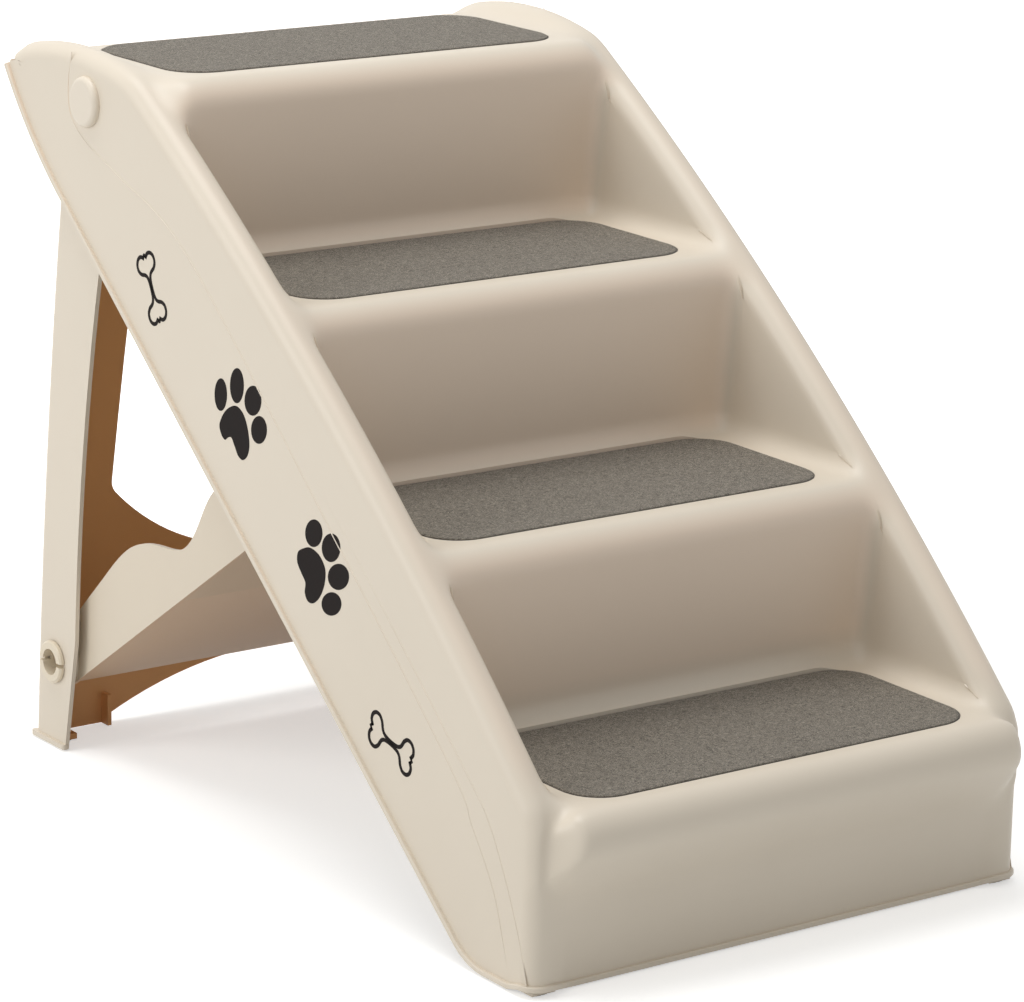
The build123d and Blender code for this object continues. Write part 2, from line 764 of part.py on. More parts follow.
# Brace: a wide channel with its web underneath, seen from the side
brace_end = latch_reach + hook_end
low_edge = -brace_head_radius
brace_top = [
    on_brace(0, brace_head_radius),
    on_brace(brace_neck_reach, brace_neck_height),
    on_brace(brace_shoulder_reach, brace_shoulder_height),
    on_brace(brace_hump_reach, brace_hump_height),
    on_brace(brace_drop_reach, brace_drop_height),
    on_brace(brace_dip_reach, brace_dip_height),
    on_brace(brace_climb_reach, brace_climb_height),
    on_brace(brace_rise_reach, brace_front_height),
    on_brace(brace_end - hook_end, brace_front_height),
]
brace_nose = on_brace(brace_end, brace_edge_radius)
notch_half = latch_radius + latch_gap
latch_y, latch_z = latch_point
notch_low = latch_z - 2 * brace_head_radius

with BuildSketch() as brace_side:
    with BuildLine():
        Spline(*brace_top, tangents=[brace_line, brace_line])
        Polyline(
            brace_top[-1],
            brace_nose,
            on_brace(brace_end, low_edge),
            on_brace(0, low_edge),
            brace_top[0],
        )
    make_face()
    with Locations((pivot_y, pivot_height)):
        Circle(brace_head_radius)
    for point in (brace_top[-1], brace_nose):
        fillet(brace_side.vertices().sort_by_distance(point)[0], brace_edge_radius)
    with Locations(latch_point):
        Circle(notch_half, mode=Mode.SUBTRACT)
    Polygon(
        (latch_y - notch_half, latch_z),
        (latch_y + notch_half, latch_z),
        (latch_y + notch_half + hook_flare, notch_low),
        (latch_y - notch_half - hook_flare, notch_low),
        align=None,
        mode=Mode.SUBTRACT,
    )

pivot_boss_splay = splay_slope * (pivot_height + pivot_boss_radius - base_z)
pivot_boss_face = leg_foot_half - leg_wall - pivot_boss_splay - side_gap
with BuildPart() as brace:
    with BuildSketch(Plane.YZ.offset(brace_half - brace_wall)):
        add(brace_side.sketch_local)
    extrude(amount=brace_wall)
    with BuildSketch(Plane.YZ.offset(brace_half - touch)):
        with Locations((pivot_y, pivot_height)):
            Circle(pivot_boss_radius)
    extrude(amount=pivot_boss_face - brace_half + touch)
    with BuildSketch(Plane.YZ.offset(brace_half - brace_wall - touch)):
        with Locations((pivot_y, pivot_height)):
            Circle(barrel_radius + running_gap)
    extrude(amount=over, mode=Mode.SUBTRACT)
    mirror(about=Plane.YZ)
    with BuildSketch(Plane.YZ.offset(-brace_half + touch)):
        Polygon(
            on_brace(brace_web_start, low_edge),
            on_brace(brace_crease, low_edge),
            on_brace(brace_web_end, low_edge + brace_web_lift),
            on_brace(brace_web_end, low_edge + brace_web_lift + brace_web),
            on_brace(brace_crease, low_edge + brace_web),
            on_brace(brace_web_start, low_edge + brace_web),
            align=None,
        )
    extrude(amount=2 * (brace_half - touch))
brace.part.label = "brace"
export_step(brace.part, "parts/brace.step")

# Split snap barrels: fixed in the brace, turning in the feet of the leg
flange_outer = leg_foot_half - splay_slope * (pivot_height - barrel_head_radius - base_z)
barrel_seat = brace_half - brace_wall
barrel_head_face = flange_outer + side_gap
for name, side in sides.items():
    with BuildPart() as barrel:
        with BuildSketch(Plane.YZ.offset(side * barrel_seat)):
            with Locations((pivot_y, pivot_height)):
                Circle(barrel_radius)
        extrude(amount=side * (barrel_head_face - barrel_seat + touch))
        with BuildSketch(Plane.YZ.offset(side * barrel_seat)):
            with Locations((pivot_y, pivot_height)):
                Circle(barrel_collar_radius)
        extrude(amount=-side * barrel_collar)
        with BuildSketch(Plane.YZ.offset(side * barrel_head_face)):
            with Locations((pivot_y, pivot_height)):
                Circle(barrel_head_radius)
        extrude(amount=side * barrel_head_height)
        chamfer(barrel.edges().sort_by(Axis.X)[-1 if side > 0 else 0], barrel_chamfer)
        with BuildSketch(Plane.YZ.offset(side * (barrel_seat - barrel_collar))):
            with Locations((pivot_y, pivot_height)):
                Circle(barrel_bore)
        extrude(amount=side * (half_width + over), mode=Mode.SUBTRACT)
        with BuildSketch(Plane.YZ.offset(side * pivot_boss_face)):
            with Locations((pivot_y, pivot_height)):
                Rectangle(2 * barrel_head_radius + over, barrel_slot)
        extrude(amount=side * (half_width + over), mode=Mode.SUBTRACT)
    barrel.part.label = f"brace_barrel_{name}"
    export_step(barrel.part, f"parts/brace_barrel_{name}.step")

# Latch pins in their bosses on the shell
for name, side in sides.items():
    with BuildPart() as latch_pin:
        with BuildSketch(Plane.YZ.offset(side * panel_inner)):
            with Locations(latch_point):
                Circle(latch_radius)
        extrude(amount=side * (half_width - latch_inset - panel_inner))
        chamfer(latch_pin.edges().sort_by(Axis.X)[0 if side > 0 else -1], barrel_chamfer)
    latch_pin.part.label = f"latch_pin_{name}"
    export_step(latch_pin.part, f"parts/latch_pin_{name}.step")
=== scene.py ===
"""Looks of the folding pet stairs: moulded cream plastic, felt carpets, printed paws and bones, soft light."""

from math import cos, pi, radians, sin, tan

import bmesh
import bpy
from mathutils import Matrix, Vector, noise


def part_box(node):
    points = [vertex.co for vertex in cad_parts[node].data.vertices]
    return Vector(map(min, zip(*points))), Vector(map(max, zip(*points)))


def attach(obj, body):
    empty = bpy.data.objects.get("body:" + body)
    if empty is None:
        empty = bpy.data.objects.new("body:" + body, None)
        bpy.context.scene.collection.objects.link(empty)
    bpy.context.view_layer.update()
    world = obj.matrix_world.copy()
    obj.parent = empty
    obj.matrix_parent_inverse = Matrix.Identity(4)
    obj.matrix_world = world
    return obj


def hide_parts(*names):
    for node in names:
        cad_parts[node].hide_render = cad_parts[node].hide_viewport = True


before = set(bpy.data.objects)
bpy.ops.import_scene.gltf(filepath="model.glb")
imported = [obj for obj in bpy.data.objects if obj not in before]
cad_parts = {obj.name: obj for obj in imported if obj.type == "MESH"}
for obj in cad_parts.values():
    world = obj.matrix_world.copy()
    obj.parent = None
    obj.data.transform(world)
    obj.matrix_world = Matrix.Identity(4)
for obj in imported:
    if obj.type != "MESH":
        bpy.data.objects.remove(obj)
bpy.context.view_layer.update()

MM = 0.001


# Materials

def shade(name):
    """A new node material and its shader."""
    material = bpy.data.materials.new(name)
    material.use_nodes = True
    shader = material.node_tree.nodes["Principled BSDF"]
    return material, shader


def node(material, kind, inputs=None, **settings):
    """A node of a material or the world. An input is a value, or the output it is linked from."""
    made = material.node_tree.nodes.new(kind)
    for key, value in settings.items():
        setattr(made, key, value)
    for key, value in (inputs or {}).items():
        socket = made.inputs[key]
        if isinstance(value, bpy.types.NodeSocket):
            material.node_tree.links.new(value, socket)
        else:
            socket.default_value = value
    return made


def link(material, output, socket):
    material.node_tree.links.new(output, socket)


def ramp(material, factor, stops):
    """A colour ramp over a factor. Each stop is a place and a colour."""
    made = node(material, "ShaderNodeValToRGB", {"Fac": factor})
    elements = made.color_ramp.elements
    for index, (place, colour) in enumerate(stops):
        element = elements[index] if index < 2 else elements.new(place)
        element.position = place
        element.color = (*colour, 1)
    return made.outputs["Color"]


def facing(material, axis, start, end):
    """0 to 1 for surfaces that look the way of an axis of the piece, between two amounts of its normal."""
    normal = node(material, "ShaderNodeTexCoord").outputs["Normal"]
    look = node(material, "ShaderNodeSeparateXYZ", {"Vector": normal})
    share = node(
        material, "ShaderNodeMapRange", {"Value": look.outputs[axis], "From Min": start, "From Max": end},
    )
    return share.outputs[0]


def tinted(material, base, colour, share):
    """A colour laid over another by a share."""
    mixed = node(material, "ShaderNodeMix", {"Factor": share, "A": base, "B": (*colour, 1)}, data_type="RGBA")
    return mixed.outputs["Result"]


def moulded(name, colour, shadow_colour, roughness, grain=0.05, inner=None, painted_shading=None):
    """Injection-moulded plastic: a fine matte grain, faint flow clouds and slightly rubbed roughness, with
    painted shade and light where asked.
    """
    material, shader = shade(name)
    place = node(material, "ShaderNodeTexCoord").outputs["Object"]
    clouds = node(
        material, "ShaderNodeTexNoise", {"Vector": place, "Scale": 7.0, "Detail": 4.0, "Roughness": 0.6},
    )
    tint = ramp(material, clouds.outputs["Fac"], [(0.3, shadow_colour), (0.7, colour)])
    if inner:
        # Painted shade, warmed by painted light through the thin wall, makes the inside a darker brown
        reach, painted_inside_colour = inner
        split = node(material, "ShaderNodeSeparateXYZ", {"Vector": place})
        across = node(material, "ShaderNodeMath", {0: split.outputs["X"]}, operation="ABSOLUTE")
        depth = node(
            material, "ShaderNodeMapRange",
            {"Value": across.outputs[0], "From Min": reach, "From Max": reach - 1.5 * MM},
        )
        tint = tinted(material, tint, painted_inside_colour, depth.outputs[0])
    if painted_shading:
        # Painted light and shade on surfaces that look one way above a height: brighter, warmer risers between
        # the steps, and a darker brown underside of the brace
        axis, height, painted_shading_colour = painted_shading
        level = node(material, "ShaderNodeSeparateXYZ", {"Vector": place}).outputs["Z"]
        above = node(
            material, "ShaderNodeMapRange",
            {"Value": level, "From Min": height, "From Max": height + 20 * MM},
        )
        share = node(
            material, "ShaderNodeMath", {0: above.outputs[0], 1: facing(material, axis, -0.45, -0.9)},
            operation="MULTIPLY",
        )
        tint = tinted(material, tint, painted_shading_colour, share.outputs[0])
    link(material, tint, shader.inputs["Base Color"])
    fine = node(
        material, "ShaderNodeTexNoise", {"Vector": place, "Scale": 1400.0, "Detail": 3.0, "Roughness": 0.55},
    )
    rubbed = node(
        material, "ShaderNodeMapRange",
        {"Value": clouds.outputs["Fac"], "To Min": roughness - 0.05, "To Max": roughness + 0.06},
    )
    link(material, rubbed.outputs[0], shader.inputs["Roughness"])
    bump = node(
        material, "ShaderNodeBump",
        {"Strength": grain, "Distance": 0.4 * MM, "Height": fine.outputs["Fac"]},
    )
    link(material, bump.outputs[0], shader.inputs["Normal"])
    shader.inputs["IOR"].default_value = 1.5
    shader.inputs["Specular IOR Level"].default_value = 0.45
    return material


def felt(name, dark, pale):
    """Needled felt: short fibres of several browns, matted together."""
    material, shader = shade(name)
    place = node(material, "ShaderNodeTexCoord").outputs["Object"]
    warp = node(material, "ShaderNodeTexNoise", {"Vector": place, "Scale": 320.0, "Detail": 3.0})
    swirl = node(
        material, "ShaderNodeMix", {"Factor": 0.012, "A": place, "B": warp.outputs["Color"]},
        data_type="RGBA",
    )
    fibres = []
    for angle, seed in ((0.35, 0.0), (-0.6, 3.1), (1.2, 7.7)):
        turned = node(
            material, "ShaderNodeMapping",
            {"Vector": swirl.outputs["Result"], "Location": (seed, seed, 0), "Rotation": (0, 0, angle),
             "Scale": (260, 1500, 900)},
        )
        fibre = node(
            material, "ShaderNodeTexNoise", {"Vector": turned.outputs[0], "Scale": 1.0, "Detail": 4.0},
        )
        fibres.append(fibre.outputs["Fac"])
    total = fibres[0]
    for fibre in fibres[1:]:
        total = node(material, "ShaderNodeMath", {0: total, 1: fibre}, operation="ADD").outputs[0]
    level = node(material, "ShaderNodeMapRange", {"Value": total, "From Min": 1.1, "From Max": 1.9})
    heather = ramp(material, level.outputs[0], [(0.28, dark), (0.74, pale)])
    # Painted shade: the sides and rounded edge of the felt, which face less upward, are darker
    painted_edge_shade = tuple(0.6 * part for part in dark)
    colour = tinted(material, heather, painted_edge_shade, facing(material, "Z", 0.92, 0.5))
    link(material, colour, shader.inputs["Base Color"])
    shader.inputs["Roughness"].default_value = 0.95
    shader.inputs["Sheen Weight"].default_value = 0.25
    shader.inputs["Sheen Roughness"].default_value = 0.5
    shader.inputs["Specular IOR Level"].default_value = 0.15
    bump = node(
        material, "ShaderNodeBump", {"Strength": 0.7, "Distance": 0.5 * MM, "Height": level.outputs[0]},
    )
    link(material, bump.outputs[0], shader.inputs["Normal"])
    return material


def ink(name, colour):
    """Matte printing ink with a faint unevenness."""
    material, shader = shade(name)
    place = node(material, "ShaderNodeTexCoord").outputs["Object"]
    patches = node(material, "ShaderNodeTexNoise", {"Vector": place, "Scale": 90.0, "Detail": 4.0})
    deep = tuple(0.7 * part for part in colour)
    tint = ramp(material, patches.outputs["Fac"], [(0.35, deep), (0.65, colour)])
    link(material, tint, shader.inputs["Base Color"])
    even = node(
        material, "ShaderNodeMapRange", {"Value": patches.outputs["Fac"], "To Min": 0.62, "To Max": 0.75},
    )
    link(material, even.outputs[0], shader.inputs["Roughness"])
    shader.inputs["Specular IOR Level"].default_value = 0.12
    return material


def plated(name, colour, roughness):
    """Zinc-plated steel with fine turning marks."""
    material, shader = shade(name)
    place = node(material, "ShaderNodeTexCoord").outputs["Object"]
    marks = node(material, "ShaderNodeTexNoise", {"Vector": place, "Scale": 900.0, "Detail": 2.0})
    pale = tuple(min(1.0, 1.15 * part) for part in colour)
    tint = ramp(material, marks.outputs["Fac"], [(0.3, colour), (0.7, pale)])
    link(material, tint, shader.inputs["Base Color"])
    shader.inputs["Metallic"].default_value = 1.0
    shader.inputs["Roughness"].default_value = roughness
    return material


CREAM = (0.76, 0.68, 0.565)
CREAM_SHADE = (0.735, 0.655, 0.54)
# Painted light: the risers of the shell are brighter and warmer
shell_plastic = moulded("shell_plastic", CREAM, CREAM_SHADE, 0.42, painted_shading=("Y", 120 * MM, (0.84, 0.70, 0.565)))
# Painted shade and light: the inside of the leg is a darker, warmer brown
leg_plastic = moulded("leg_plastic", CREAM, CREAM_SHADE, 0.45, inner=(0.1785, (0.72, 0.37, 0.15)))
# Painted shade: the underside of the brace is a darker brown
brace_plastic = moulded(
    "brace_plastic", (0.74, 0.65, 0.52), (0.71, 0.62, 0.495), 0.45, painted_shading=("Z", -1.0, (0.54, 0.33, 0.175)),
)
cap_plastic = moulded("cap_plastic", (0.77, 0.69, 0.575), CREAM, 0.36, grain=0.03)
barrel_plastic = moulded("barrel_plastic", (0.78, 0.69, 0.54), (0.75, 0.66, 0.51), 0.36, grain=0.03)
rubber = moulded("rubber_pad", (0.085, 0.08, 0.075), (0.06, 0.057, 0.053), 0.8, grain=0.2)
nylon = moulded("nylon", (0.78, 0.76, 0.70), (0.74, 0.72, 0.66), 0.4)
steel = plated("steel", (0.52, 0.52, 0.54), 0.32)
carpet_felt = felt("carpet", (0.07, 0.059, 0.045), (0.36, 0.32, 0.258))
print_ink = ink("print_ink", (0.012, 0.008, 0.007))

finishes = {
    "stair_shell": shell_plastic, "rear_leg": leg_plastic, "brace": brace_plastic, "hinge_pin": cap_plastic,
    "latch_pin": cap_plastic, "brace_barrel": barrel_plastic, "foot_pad": rubber, "hinge_spacer": nylon,
    "hinge_washer": steel, "hinge_screw": steel,
}
for name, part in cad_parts.items():
    for key, material in finishes.items():
        if key in name:
            for place in part.material_slots:
                place.link = "OBJECT"
                place.material = material


# Helpers for the pieces

def in_scene(piece):
    """Puts an object in the scene and gives it back."""
    bpy.context.scene.collection.objects.link(piece)
    return piece


def finished(mesh, name):
    """Mesh data from a mesh that is done with."""
    data = bpy.data.meshes.new(name)
    mesh.to_mesh(data)
    mesh.free()
    return data


def smoothed(data):
    """The same mesh data with smooth faces."""
    for face in data.polygons:
        face.use_smooth = True
    return data


def new_piece(name, mesh, body, material):
    """A mesh that rides on a CAD body, with the material it is given."""
    piece = in_scene(bpy.data.objects.new(name, mesh))
    mesh.materials.append(material)
    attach(piece, body)
    return piece


def bridged(mesh, rings):
    """Joins rings of points that follow each other."""
    for a, b in zip(rings, rings[1:]):
        for k in range(len(a)):
            after = (k + 1) % len(a)
            mesh.faces.new((a[k], a[after], b[after], b[k]))


# Carpets

CARPET_CORNER = 27 * MM
CARPET_EDGE = 0.9 * MM
CARPET_CELL = 1.6 * MM
CARPET_RECESS = 1.2
# Height and length of each of the two ripples of the felt
CARPET_RIPPLES = ((0.16 * MM, 3.1 * MM), (0.096 * MM, 1.9 * MM))


def round_box_depth(x, y, half_x, half_y, corner):
    """How far a point lies inside a rectangle with round corners."""
    out_x, out_y = abs(x) - half_x + corner, abs(y) - half_y + corner
    outside = Vector((max(out_x, 0), max(out_y, 0))).length
    return corner - outside - min(max(out_x, out_y), 0)


def carpet(step):
    """One carpet: a felt pad with a rounded top edge, whose surface is slightly uneven."""
    low, high = (Vector(corner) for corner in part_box(f"tread_carpet_{step}"))
    half_x, half_y = (high.x - low.x) / 2, (high.y - low.y) / 2
    middle = (low + high) / 2
    columns, rows = round(2 * half_x / CARPET_CELL), round(2 * half_y / CARPET_CELL)
    mesh = bmesh.new()
    grid = []
    for j in range(rows + 1):
        line = []
        for i in range(columns + 1):
            x, y = half_x * (2 * i / columns - 1), half_y * (2 * j / rows - 1)
            # Points outside the round corners are drawn back onto the outline
            cx = max(min(x, half_x - CARPET_CORNER), CARPET_CORNER - half_x)
            cy = max(min(y, half_y - CARPET_CORNER), CARPET_CORNER - half_y)
            spoke = Vector((x - cx, y - cy))
            square = max(abs(spoke.x), abs(spoke.y))
            if min(abs(spoke.x), abs(spoke.y)) > 0:
                spoke *= square / spoke.length
            x, y = cx + spoke.x, cy + spoke.y
            inset = max(round_box_depth(x, y, half_x, half_y, CARPET_CORNER), 0)
            edge = max(CARPET_EDGE - inset, 0)
            drop = CARPET_EDGE - (CARPET_EDGE**2 - edge**2) ** 0.5
            spot = Vector((x, y, step))
            ripple = sum(height * noise.noise(spot / length) for height, length in CARPET_RIPPLES)
            line.append(mesh.verts.new((middle.x + x, middle.y + y, high.z - drop - abs(ripple))))
        grid.append(line)
    for j in range(rows):
        for i in range(columns):
            mesh.faces.new((grid[j][i], grid[j][i + 1], grid[j + 1][i + 1], grid[j + 1][i]))
    border = [edge for edge in mesh.edges if edge.is_boundary]
    skirt = bmesh.ops.extrude_edge_only(mesh, edges=border)["geom"]
    for vertex in (part for part in skirt if isinstance(part, bmesh.types.BMVert)):
        vertex.co.z = low.z
    bmesh.ops.holes_fill(mesh, edges=[edge for edge in mesh.edges if edge.is_boundary])
    bmesh.ops.recalc_face_normals(mesh, faces=mesh.faces)
    data = smoothed(finished(mesh, f"carpet_{step}"))
    piece = new_piece(f"felt_carpet_{step}", data, "stair_body", carpet_felt)
    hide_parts(f"tread_carpet_{step}")


for step in range(1, 5):
    carpet(step)


# Moulded shell: one skin over the steps, the rims and the side panels. Side-view places are (y, z) in mm.

# Wall, its share in the tight bends beside the rims, and how far those bends are smoothed
WALL, THIN_SHARE = 3.0, 0.25
BEND_ROUNDS, BEND_FACTOR, BEND_FADE = 10, 0.5, 4.0
# Noses, risers and the front panel under the lowest nose, whose roll runs out over the posts
NOSE_RADIUS, NOSE_REACH, NOSE_END = 18.0, 24.0, 3.0
NOSE_AHEAD, NOSE_MIDDLE, NOSE_HALF = 14.0, 174.0, 8.0
COVE_RADIUS, RISER_LEAN = 15.0, radians(5.7)
PANEL_SETBACK, THROAT_LEAN, THROAT_RADIUS = 4.8, radians(33), 40.0
POST_REACH, TOP_REST = 1.0, 6.0
# Rims: width, round edges, and the flank between the front panel and a post
RIM_WIDTH, RIM_RADIUS, BLEND_RADIUS = 23.0, 11.0, 11.0
FLANK_MIDDLE, FLANK_HALF = 163.5, 6.5
BLEND_SHARE, EDGE_SHARE, OUTER_SHARE = 0.45, 0.5, 0.58
SOFT_ROOM, MOST_ROOM = 9.0, 160
# Crest of the rims: height over the line of the treads, and the crown beside the top tread
CREST_FRONT, CREST_MIDDLE, CREST_SOFTNESS, CREST_GAP = -4.1, 16.4, 12, 1.0
CREST_LOW, CREST_HIGH = 60, 104
CROWN_START_Y, CROWN_START_Z = 6.0, -0.5
CROWN_PEAK_Y, CROWN_PEAK_Z = -73.0, 10.0
CROWN_END_Y, CROWN_END_Z = -13.0, 2.0
# Side panels
SIDE_DEPTH, HEEL_RADIUS = 127.6, 50.0
TIP_RUN, TIP_DROP = 72.0, 11.5
FOOT_SLANT, FOOT_SLANT_REACH = 15, 70
# Lips, ribs, bosses and the floors of the posts
LIP_HEIGHT, LIP_REACH, LIP_EDGE, LIP_SINK, BACK_LIP = 3.5, 2.5, 0.6, 0.5, 14.0
RIB_X, RIB_DEPTH, RIB_THICKNESS, RIB_SINK, RIB_END = 60.0, 6.0, 2.4, 0.2, 30
HINGE_BOSS_RADIUS, HINGE_BOSS_HEIGHT = 14, 3
LATCH_BOSS_RADIUS, LATCH_BOSS_HEIGHT = 8.5, 6
POST_FLOOR_DEPTH, POST_FLOOR_THICKNESS = 35, 4
# Relief lines
BEAD_WIDTH, BEAD_HEIGHT, BEAD_RUN_OUT = 1.5, 0.35, 12
BEAD_SECTION = ((-1, False), (-0.4, True), (0.4, True), (1, False))
# Recesses of the carpets
RECESS_GAP, RECESS_HEIGHT, RECESS_STEPS = 0.3, 9, 10
# Spacing of points along a line, and points in each part of a row of the skin
FINE, ROW_GAP = 2.0, 3.0
ROOM_WINDOW, REACH_WINDOW = 2, 3
TREAD_POINTS, BLEND_POINTS, WALL_POINTS, EDGE_POINTS, OUTER_POINTS = 24, 6, 12, 7, 8
PANEL_POINTS, PANEL_SPREAD = 28, 1.25
SAME_PLACE = 0.02 * MM
SHARP = radians(38)



def in_mm(name):
    """Lowest and highest corner of a CAD node, in mm."""
    return [Vector(corner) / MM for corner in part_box(name)]


carpet_low = in_mm("tread_carpet_1")[0]
next_low = in_mm("tread_carpet_2")[0]
shell_low, shell_high = in_mm("stair_shell")
screw_low, screw_high = in_mm("hinge_screw_left")
latch_low, latch_high = in_mm("latch_pin_left")
hinge = ((screw_low + screw_high) / 2).yz
latch = ((latch_low + latch_high) / 2).yz

base_z = shell_low.z
half_width = shell_high.x - NOSE_END
rim_inner = half_width - RIM_WIDTH
run, rise = next_low.y - carpet_low.y, next_low.z - carpet_low.z
tread_front, first_tread = carpet_low.y, carpet_low.z + CARPET_RECESS
top_front, top_z = tread_front + 3 * run, first_tread + 3 * rise
post_front = tread_front - POST_REACH
tip = Vector((shell_high.y, top_z - TIP_DROP))
slope_way = Vector((run, rise)).normalized()
side_drop = SIDE_DEPTH / slope_way.x


def tread_line(y):
    """Height of the line through the front edges of the carpets."""
    return first_tread + (y - tread_front) * rise / run


def reach_of(point):
    """How far a point lies up the slope of the stairs."""
    return point.dot(slope_way)


def spaced(path, gap):
    """The same line, with no two points further apart than a gap."""
    dense = [path[0]]
    for a, b in zip(path, path[1:]):
        count = max(1, round((b - a).length / gap))
        dense += [a.lerp(b, k / count) for k in range(1, count + 1)]
    return dense


def swept(centre, start, end, count):
    """Points of the arc round a centre from start to end."""
    a, b = start - centre, end - centre
    turn = a.angle(b)
    shares = [(sin((1 - k / count) * turn), sin(k / count * turn)) for k in range(count + 1)]
    return [centre + (a * of_a + b * of_b) / sin(turn) for of_a, of_b in shares]


def arc(start, through, end, count=40):
    """Points of the arc through three points."""
    a, b = through - start, end - start
    cross = 2 * (a.x * b.y - a.y * b.x)
    a2, b2 = a.length_squared, b.length_squared
    centre = start + Vector((b.y * a2 - a.y * b2, a.x * b2 - b.x * a2)) / cross
    return swept(centre, start, end, count)


def rounded(corners, radii, gap=FINE):
    """A line of corners, each rounded to its radius."""
    path = [corners[0]]
    for before, corner, after, radius in zip(corners, corners[1:], corners[2:], radii):
        a, b = (before - corner).normalized(), (after - corner).normalized()
        half = a.angle(b) / 2
        centre = corner + (a + b).normalized() * radius / sin(half)
        reach = radius / tan(half)
        count = max(3, round((pi - 2 * half) * radius / gap))
        path += swept(centre, corner + a * reach, corner + b * reach, count)
    return path + [corners[-1]]


def softened(path, window):
    """The same line with its corners softened, and its ends kept."""
    soft = []
    for index in range(len(path)):
        reach = min(window, index, len(path) - 1 - index)
        near = path[index - reach:index + reach + 1]
        soft.append(sum(near, Vector((0, 0))) / len(near))
    return soft


def at_reach(path, reach):
    """The point of a line that lies as far up the slope as asked."""
    for a, b in zip(path, path[1:]):
        if reach_of(b) >= reach:
            span = reach_of(b) - reach_of(a)
            return a.lerp(b, min(max((reach - reach_of(a)) / span, 0), 1)) if span else b
    return path[-1]


def left_of(path, index):
    """The way square to a line, to its left."""
    along = (path[min(index + 1, len(path) - 1)] - path[max(index - 1, 0)]).normalized()
    return Vector((-along.y, along.x))


def fade(low, high, value):
    """Turns smoothly from 0 to 1 between two values."""
    share = min(max((value - low) / (high - low), 0), 1)
    return share * share * (3 - 2 * share)


def curved(a, b, c, d, t):
    """A place between two points, on a curve that also heeds the points before and after them."""
    return 0.5 * (2 * b + (c - a) * t + (2 * a - 5 * b + 4 * c - d) * t**2 + (3 * b - a - 3 * c + d) * t**3)


def nose_offset(lean):
    """From the front edge of a carpet to where the lines of the tread and under its nose would meet."""
    return Vector((-NOSE_REACH - NOSE_RADIUS / tan((pi / 2 - lean) / 2) + NOSE_RADIUS, 0))


# Profile of the steps, crest of the rims, and lower edge of the side panels
panel_foot = Vector((tread_front + PANEL_SETBACK, base_z))
panel_top = panel_foot.x - (first_tread - base_z) * tan(RISER_LEAN)
lowest_corner = Vector((tread_front, first_tread)) + nose_offset(THROAT_LEAN)
throat_drop = (panel_top - lowest_corner.x) / (tan(THROAT_LEAN) - tan(RISER_LEAN))
throat = Vector((panel_top + throat_drop * tan(RISER_LEAN), first_tread - throat_drop))
corners, radii = [panel_foot, throat, lowest_corner], [THROAT_RADIUS, NOSE_RADIUS]
for step in range(1, 4):
    nose = Vector((tread_front + step * run, first_tread + step * rise)) + nose_offset(RISER_LEAN)
    corners += [nose + Vector((rise * tan(RISER_LEAN), -rise)), nose]
    radii += [COVE_RADIUS, NOSE_RADIUS]
corners += [Vector((in_mm("tread_carpet_4")[1].y + TOP_REST, top_z)), tip]
radii.append(COVE_RADIUS)
profile = spaced(rounded(corners, radii), ROW_GAP)

crest_start = Vector((post_front, tread_line(post_front) + CREST_FRONT))
crown_start = Vector((top_front + CROWN_START_Y, top_z + CROWN_START_Z))
crown_peak = Vector((tip.x + CROWN_PEAK_Y, top_z + CROWN_PEAK_Z))
crown_end = Vector((tip.x + CROWN_END_Y, top_z + CROWN_END_Z))
crest_y = (post_front + crown_start.x) / 2
crest_middle = Vector((crest_y, tread_line(crest_y) + CREST_MIDDLE))
crest = [Vector((post_front, base_z))] + arc(crest_start, crest_middle, crown_start)
crest += arc(crown_start, crown_peak, crown_end) + [tip]
crest = softened(spaced(crest, CREST_GAP), CREST_SOFTNESS)

tip_arc_start = Vector((tip.x - TIP_RUN, tread_line(tip.x - TIP_RUN) - side_drop))
chord = tip - tip_arc_start
sag = chord.length / 2 * tan(slope_way.angle(chord) / 2)
tip_arc_middle = (tip + tip_arc_start) / 2 + Vector((chord.y, -chord.x)).normalized() * sag
heel = Vector((tread_front + (side_drop + base_z - first_tread) * run / rise, base_z))
lower = rounded([Vector((post_front, base_z)), heel, tip_arc_start], [HEEL_RADIUS])
lower = spaced(lower + arc(tip_arc_start, tip_arc_middle, tip)[1:], FINE)


def room_above(point, way):
    """How far a point can go before it passes the crest of the rim."""
    for distance in range(MOST_ROOM):
        there = point + way * distance
        edge = at_reach(crest, reach_of(there))
        if (there - edge).dot(Vector((-slope_way.y, slope_way.x))) > 0:
            return distance
    return MOST_ROOM


# Where each row of the skin crosses the crest and the lower edge
nose_axis = Vector((tread_front - NOSE_REACH + NOSE_RADIUS, first_tread - NOSE_RADIUS))
rooms, reaches = [], []
for index, point in enumerate(profile):
    way = left_of(profile, index)
    room = room_above(point, way)
    blend = min(BLEND_RADIUS, BLEND_SHARE * room)
    level = reach_of(Vector((post_front, point.y)))
    share = 1 if point.x > nose_axis.x else fade(CREST_LOW, CREST_HIGH, point.y)
    rooms.append(room)
    reaches.append(level + (reach_of(point + way * blend) - level) * share)
for index in range(1, len(reaches)):
    reaches[index] = max(reaches[index], reaches[index - 1] + 0.1)
near_rooms = [rooms[max(k - ROOM_WINDOW, 0):k + ROOM_WINDOW + 1] for k in range(len(rooms))]
rooms = [sum(near) / len(near) for near in near_rooms]
windows = [min(REACH_WINDOW, k) for k in range(len(reaches))]
near_reaches = [reaches[k - window:k + window + 1] for k, window in enumerate(windows)]
reaches = [sum(near) / len(near) for near in near_reaches]


